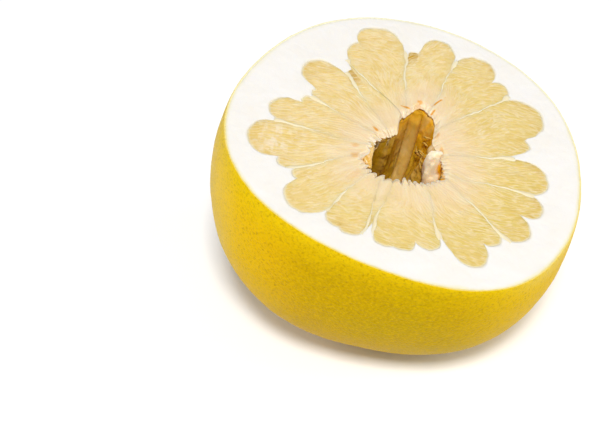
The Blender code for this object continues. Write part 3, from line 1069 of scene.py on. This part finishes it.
# Headings from the hollow's axis of the orange that is partly painted light, and of the painted shade.
ORANGE_SIDE = 45.0
SHADED_SIDE = 215.0


def hollow_share(depth):
    """Size of the hollow at each depth, as a share of its rim's size."""
    return np.interp(depth, *zip(*HOLLOW_LEVELS))


def hollow_wall(heading, depth):
    """Points on the hollow's wall, in the cut's own axes."""
    rim = polar(hollow_rim(heading), heading)
    axis = np.array([*HOLLOW_AXIS, 0.0])
    undercut = bell(turn_from(heading, UNDERCUT_HEADING), 0, UNDERCUT_SPREAD) * smoothstep(30, 14, depth)
    share = hollow_share(depth) * (1 - undercut) + UNDERCUT * undercut
    points = axis + (rim - axis) * np.asarray(share)[..., None]
    points[..., 2] = -depth
    return points


def core_colours(points):
    """How orange and how shaded the core's tissue is: orange at the far right, partly painted light, and
    painted shade at the near left and deep down.
    """
    _, side = radius_and_heading(points - [*HOLLOW_AXIS, 0.0])
    depth = -points[..., 2]
    # Orange on the far right, strongest near the top: the tissue's orange, made stronger as painted light.
    orange = smoothstep(80, 15, np.abs(turn_from(side, ORANGE_SIDE))) * smoothstep(26, 6, depth)
    orange = orange + 0.45 * noise(points, 5.0, 87, 2) * smoothstep(30, 5, depth)
    # Painted shade: darker at the near left, deeper down, and in uneven patches.
    painted_shade = smoothstep(120, 40, np.abs(turn_from(side, SHADED_SIDE))) * smoothstep(2, 12, depth)
    painted_shade = 0.9 * painted_shade + 0.4 * smoothstep(26, 44, depth) + 0.35 * noise(points, 4.0, 89, 2)
    return unit(orange), unit(painted_shade)


def build_lining():
    """The brown inside of the hollow: folds that run down where the segments' inner edges are."""
    heading = np.linspace(0, math.tau, LINING_COLUMNS, endpoint=False)
    depth = np.linspace(LINING_TOP, HOLLOW_BOTTOM, LINING_ROWS)
    heading, depth = np.meshgrid(heading, depth)
    points = hollow_wall(heading, depth)
    outward = directions((points - [*HOLLOW_AXIS, 0.0]) * [1, 1, 0])
    stretched = points * [1.0, 1.0, 0.16]
    folds = noise(stretched, 4.2, 81, 2)
    fibres = noise(stretched * [1, 1, 0.6], 1.2, 83, 2)
    crumpled = noise(points, 2.4, 85, 2)
    room = smoothstep(3.5, 13.0, depth)
    flare = 2.2 * smoothstep(4.0, 1.6, depth)
    relief = (0.15 + 1.25 * room) * folds + (0.1 + 0.3 * room) * fibres + (0.1 + 0.6 * room) * crumpled
    points = points + outward * (relief + 0.5 + flare)[..., None]
    ridge = smoothstep(0.2, -0.8, folds + 0.5 * fibres)
    # The hollow's painted light on the far right and painted shade at the near left.
    orange, painted_shade = core_colours(points)
    grid = np.concatenate([points[::-1], points + outward * LINING_THICKNESS])
    tips = [[*HOLLOW_AXIS, -HOLLOW_BOTTOM - 0.6], [*HOLLOW_AXIS, -HOLLOW_BOTTOM - 0.6 - LINING_THICKNESS]]
    vertices = np.concatenate([grid.reshape(-1, 3), tips])

    def both_sides(values):
        """The values of the lining's face for its back and its two tips too."""
        return np.concatenate([values[::-1].reshape(-1), values.reshape(-1), [0, 0]])

    make_object(
        "core_lining", from_cut(vertices), fanned_faces(len(grid), LINING_COLUMNS), CORE,
        {"ridge": both_sides(0.6 * ridge), "orange": both_sides(orange), "painted_shade": both_sides(painted_shade)},
    )


def sweep(path, aside, upward, width, thickness, sides):
    """Rings of a tube round a path, flattened to the width and thickness at each of its points."""
    turn = np.linspace(0, math.tau, sides, endpoint=False)
    return (
        path[:, None]
        + aside[:, None] * (width[:, None] * np.cos(turn))[..., None]
        + upward[:, None] * (thickness[:, None] * np.sin(turn))[..., None]
    )


STRAND_HEADINGS = (math.radians(74.5), math.radians(59))
STRAND_TOP = 1.9
STRAND_LENGTH = 41.5
STRAND_WIDTH = 3.0
STRAND_THICKNESS = 2.2
STRAND_STEPS = 130
STRAND_SIDES = 44


def build_strand():
    """The pale strand that the core left down the far wall, ribbed along its length."""
    share = np.linspace(0, 1, STRAND_STEPS)
    heading = STRAND_HEADINGS[0] + (STRAND_HEADINGS[1] - STRAND_HEADINGS[0]) * share
    along = polar(1.0, heading)
    aside = polar(1.0, heading - math.pi / 2)
    middle = hollow_wall(heading, STRAND_TOP + STRAND_LENGTH * share)
    middle = middle - along * (0.2 + 1.5 * smoothstep(0, 0.12, share))[:, None]
    width = STRAND_WIDTH * (1 - 0.2 * share)
    thick = STRAND_THICKNESS * (1 - 0.3 * share) * (0.5 + 0.5 * smoothstep(0, 0.08, share))
    grid = sweep(middle, aside, along, width, thick, STRAND_SIDES)
    ribs = noise(grid * [1, 1, 0.12], 1.25, 95, 2)
    grid = grid - along[:, None] * (0.5 * ribs)[..., None]
    ridge = unit(0.72 - 0.35 * ribs + 0.15 * noise(grid, 6.0, 97))
    ridge = ridge * smoothstep(0.0, 0.3, share + 0.06)[:, None]
    turn = np.linspace(0, math.tau, STRAND_SIDES, endpoint=False)
    # Painted shade: the strand is darker along its two edges and at its top.
    painted_shade = 0.25 * smoothstep(0.16, 0.0, share)[:, None] + 0.28 * smoothstep(0.6, 1.0, np.abs(np.cos(turn)))
    make_object(
        "core_strand", from_cut(grid.reshape(-1, 3)), tube_faces(STRAND_STEPS, STRAND_SIDES), CORE,
        {"ridge": ridge, "orange": np.repeat(0.8 * smoothstep(0.3, 0.0, share), STRAND_SIDES), "painted_shade": painted_shade},
    )


SLAB_ROWS = 50
SLAB_SIDES = 64
SLAB_TOP = 0.5
SLAB_HEIGHT = 17.0
SLAB_ENDS = (9.6, 18.4)
SLAB_CORNERS = 0.3


def build_slab():
    """The pale slab of tissue that stands in the right of the hollow and leans to the near side."""
    share = np.linspace(0, 1, SLAB_ROWS)
    turn = np.linspace(0, math.tau, SLAB_SIDES, endpoint=False)
    depth = SLAB_TOP + SLAB_HEIGHT * share ** 1.25
    cosine, sine = np.cos(turn), np.sin(turn)
    square = np.maximum(np.abs(cosine), np.abs(sine)) ** SLAB_CORNERS
    full = np.sqrt(np.sin(math.pi / 2 * unit(share / 0.22)))
    left_end, right_end = SLAB_ENDS[0] + 0.15 * depth, SLAB_ENDS[1] + 0.55 * depth
    near_side, far_side = 1.6 - 7.0 * share, 4.2 - 1.0 * share
    half_length, half_width = (right_end - left_end) / 2 * full, (far_side - near_side) / 2 * full
    grid = np.stack([
        ((left_end + right_end) / 2)[:, None] + half_length[:, None] * cosine / square,
        ((near_side + far_side) / 2)[:, None] + half_width[:, None] * sine / square,
        np.repeat(-depth[:, None], SLAB_SIDES, 1),
    ], -1)
    stretched = grid * [1, 1, 0.2]
    outward = polar(1.0, turn)
    streaks = 0.9 * noise(stretched, 2.4, 111, 3) + 0.5 * noise(stretched, 1.1, 119)
    grid = grid + outward * (streaks * full[:, None])[..., None]
    grid[..., 2] += 0.9 * noise(grid, 2.0, 113, 2) * smoothstep(0, 0.1, share)[:, None]
    grid[..., 2] -= 1.6 * smoothstep(14.0, 9.0, grid[..., 0]) * (1 - share)[:, None]
    vertices = grid.reshape(-1, 3)
    down = -vertices[:, 2]
    line = 1.3 * bell(vertices[:, 0], 14.4 + 0.35 * down, 1.1) * smoothstep(0.6, 2.0, down)
    line = line * smoothstep(0.35, 0.9, 0.75 + 0.5 * noise(vertices * [1, 1, 0.3], 1.5, 115))
    streak = noise(vertices * [1, 1, 0.15], 1.3, 117, 2)
    blush = unit(0.35 + 0.6 * smoothstep(1.5, 9.0, down) + 0.5 * streak)
    make_object(
        "core_slab", from_cut(vertices), tube_faces(SLAB_ROWS, SLAB_SIDES), FLESH,
        {"orange": unit(line), "blush": blush, "shade": 0.7 * smoothstep(9.0, 16.0, down)},
    )


TONGUE_STEPS = 44
TONGUE_SIDES = 28
TONGUE_LENGTH = 10.6
TONGUE_WIDTH = 2.9
TONGUE_THICKNESS = 0.9


def build_tongue():
    """The torn tongue of tissue that hangs over the left of the hollow."""
    share = np.linspace(0, 1, TONGUE_STEPS)
    path = np.stack([
        -15.2 + 2.4 * share + 0.3 * np.sin(share * 6),
        2.2 - TONGUE_LENGTH * share,
        -1.2 - 1.4 * share - 2.4 * share ** 3,
    ], -1)
    aside = np.tile([1.0, 0.12, 0.0], (TONGUE_STEPS, 1))
    upward = np.tile([0.0, 0.0, 1.0], (TONGUE_STEPS, 1))
    width = TONGUE_WIDTH * (1 - 0.8 * share ** 0.9) + 0.1
    grid = sweep(path, aside, upward, width, TONGUE_THICKNESS * (1 - 0.5 * share), TONGUE_SIDES)
    left_side = smoothstep(0.5, -1.0, (grid - path[:, None])[..., 0] / width[:, None])
    ragged = noise(grid * [0.5, 1, 1], 1.7, 121, 3) + 0.5 * noise(grid, 0.8, 127)
    grid = grid + aside[:, None] * (ragged * (0.25 + 0.7 * left_side) - 0.9 * left_side)[..., None]
    grid[..., 2] += 0.35 * noise(grid * [1, 0.4, 1], 1.1, 129, 2)
    # Painted shade: the tongue is browner and darker on its left side and towards its low end, unevenly.
    brown = unit(0.95 * left_side + 0.5 * noise(grid, 1.5, 123, 2))
    low = smoothstep(0.5, 1.0, share)[:, None]
    make_object(
        "core_tongue", from_cut(grid.reshape(-1, 3)), tube_faces(TONGUE_STEPS, TONGUE_SIDES), PULP,
        {
            "near_core": np.full(left_side.shape, 0.6),
            "pale": np.repeat(0.3 * smoothstep(0.6, 0.1, share), TONGUE_SIDES),
            "brown": unit(0.5 + 0.6 * brown + 0.4 * low),
            "ripe": unit(0.25 + 0.8 * brown * np.maximum(left_side, low)),
        },
    )


CURL_COUNT = 9
CURL_STEPS = 56
CURL_SIDES = 9
CURL_HEADINGS = (24, 56)
CURL_DEPTHS = (5, 19)
CURL_RADII = (1.3, 2.9)
CURL_THICKNESSES = (0.28, 0.45)


def build_curls():
    """Curly fibres of torn tissue on the right wall, beside the strand."""
    random = np.random.default_rng(17)
    vertices, faces = [], []
    share = np.linspace(0, 1, CURL_STEPS)
    arch = np.sin(share * math.pi)
    for number in range(CURL_COUNT):
        heading = math.radians(random.uniform(*CURL_HEADINGS))
        depth = random.uniform(*CURL_DEPTHS)
        root = hollow_wall(heading, depth)
        inward = -polar(1.0, heading)
        sideways = np.array([-inward[1], inward[0], 0])
        turns = random.choice([-1, 1]) * random.uniform(0.35, 0.85) * math.tau
        angle = random.uniform(0, math.tau) + turns * share
        loop = random.uniform(*CURL_RADII)
        drop = random.uniform(0.0, 3.0)
        drift = random.uniform(-3.0, 3.0)
        path = (
            root
            + inward * (0.4 + 1.6 * arch + 0.4 * loop * np.cos(angle))[:, None]
            + sideways * (drift * share + loop * np.sin(angle))[:, None]
            + np.array([0, 0, 1.0]) * (loop * np.cos(angle) - drop * share)[:, None]
        )
        tangent = directions(np.gradient(path, axis=0))
        first = directions(np.cross(tangent, inward))
        second = np.cross(tangent, first)
        thick = random.uniform(*CURL_THICKNESSES) * (0.25 + 0.75 * arch ** 0.5)
        grid = sweep(path, first, second, thick * random.uniform(1.0, 1.7), thick * 0.8, CURL_SIDES)
        vertices.append(grid.reshape(-1, 3))
        faces += tube_faces(CURL_STEPS, CURL_SIDES, number * CURL_STEPS * CURL_SIDES)
    vertices = np.concatenate(vertices)
    # A little of the hollow's painted light and painted shade.
    orange, painted_shade = core_colours(vertices)
    make_object(
        "core_curls", from_cut(vertices), faces, CORE,
        {"ridge": np.full(len(vertices), 0.65), "orange": 0.3 * orange, "painted_shade": 0.1 * painted_shade},
    )


# ---- stage, light and camera

CAMERA_ELEVATION = math.radians(42)
CAMERA_DISTANCE = 0.638
CAMERA_TARGET = (-0.0393, 0.0469, 0.0)
LENS = 80.0
SENSOR_WIDTH = 36.0
FLOOR_HALF = 6.0
WORLD_COLOUR = (0.94, 0.97, 1.05, 1)
WORLD_STRENGTH = 0.19
# Each light: name, place, size in metres, power in watts
LIGHTS = (
    ("key", (-0.02, -1.24, 1.92), 0.40, 46.5),
    ("left_fill", (-1.1, -0.1, 0.6), 0.8, 5.0),
    ("right_fill", (1.1, -0.1, 0.6), 0.8, 6.5),
)
LIT_POINT = (0, 0, 0.05)


def build_stage():
    """A plain pale floor."""
    paint = Paint("pale_floor", (0.93, 0.93, 0.93), 0.9, 0.0)
    paint.fix(Emission_Color=(1.0, 1.0, 1.0, 1.0), Emission_Strength=0.012)
    mesh = bpy.data.meshes.new("floor")
    corners = [(x * FLOOR_HALF, y * FLOOR_HALF, 0) for x, y in ((-1, -1), (1, -1), (1, 1), (-1, 1))]
    mesh.from_pydata(corners, [], [(0, 1, 2, 3)])
    mesh.materials.append(paint.material)
    floor = bpy.data.objects.new("floor", mesh)
    bpy.context.scene.collection.objects.link(floor)


def add_light(name, place, size, power):
    """A soft square light that shines on the fruit."""
    data = bpy.data.lights.new(name, "AREA")
    data.size = size
    data.energy = power
    light = bpy.data.objects.new(name, data)
    light.location = place
    aim = Vector(LIT_POINT) - Vector(place)
    light.rotation_euler = aim.to_track_quat("-Z", "Y").to_euler()
    bpy.context.scene.collection.objects.link(light)


def build_light():
    """A soft key from above the near side, and a weak fill from each side."""
    world = bpy.data.worlds.new("soft_white")
    world.use_nodes = True
    background = world.node_tree.nodes["Background"]
    background.inputs["Color"].default_value = WORLD_COLOUR
    background.inputs["Strength"].default_value = WORLD_STRENGTH
    bpy.context.scene.world = world
    for light in LIGHTS:
        add_light(*light)


def build_camera():
    """A camera that looks down at the cut face from the front."""
    data = bpy.data.cameras.new("camera")
    data.lens = LENS
    data.sensor_width = SENSOR_WIDTH
    camera = bpy.data.objects.new("camera", data)
    back = Vector((0, -math.cos(CAMERA_ELEVATION), math.sin(CAMERA_ELEVATION)))
    camera.location = Vector(CAMERA_TARGET) + back * CAMERA_DISTANCE
    camera.rotation_euler = (math.pi / 2 - CAMERA_ELEVATION, 0, 0)
    bpy.context.scene.collection.objects.link(camera)
    bpy.context.scene.camera = camera


bpy.context.scene.view_settings.view_transform = "Standard"
build_camera()
build_light()
build_stage()
inner_edge = build_skin(skin_sheet())
build_pith(rim_curve(inner_edge))
for number, (wall, next_wall) in enumerate(zip(WALLS, WALLS[1:]), 1):
    build_segment(number, wall, next_wall)
build_walls()
build_lining()
build_strand()
build_slab()
build_tongue()
build_curls()
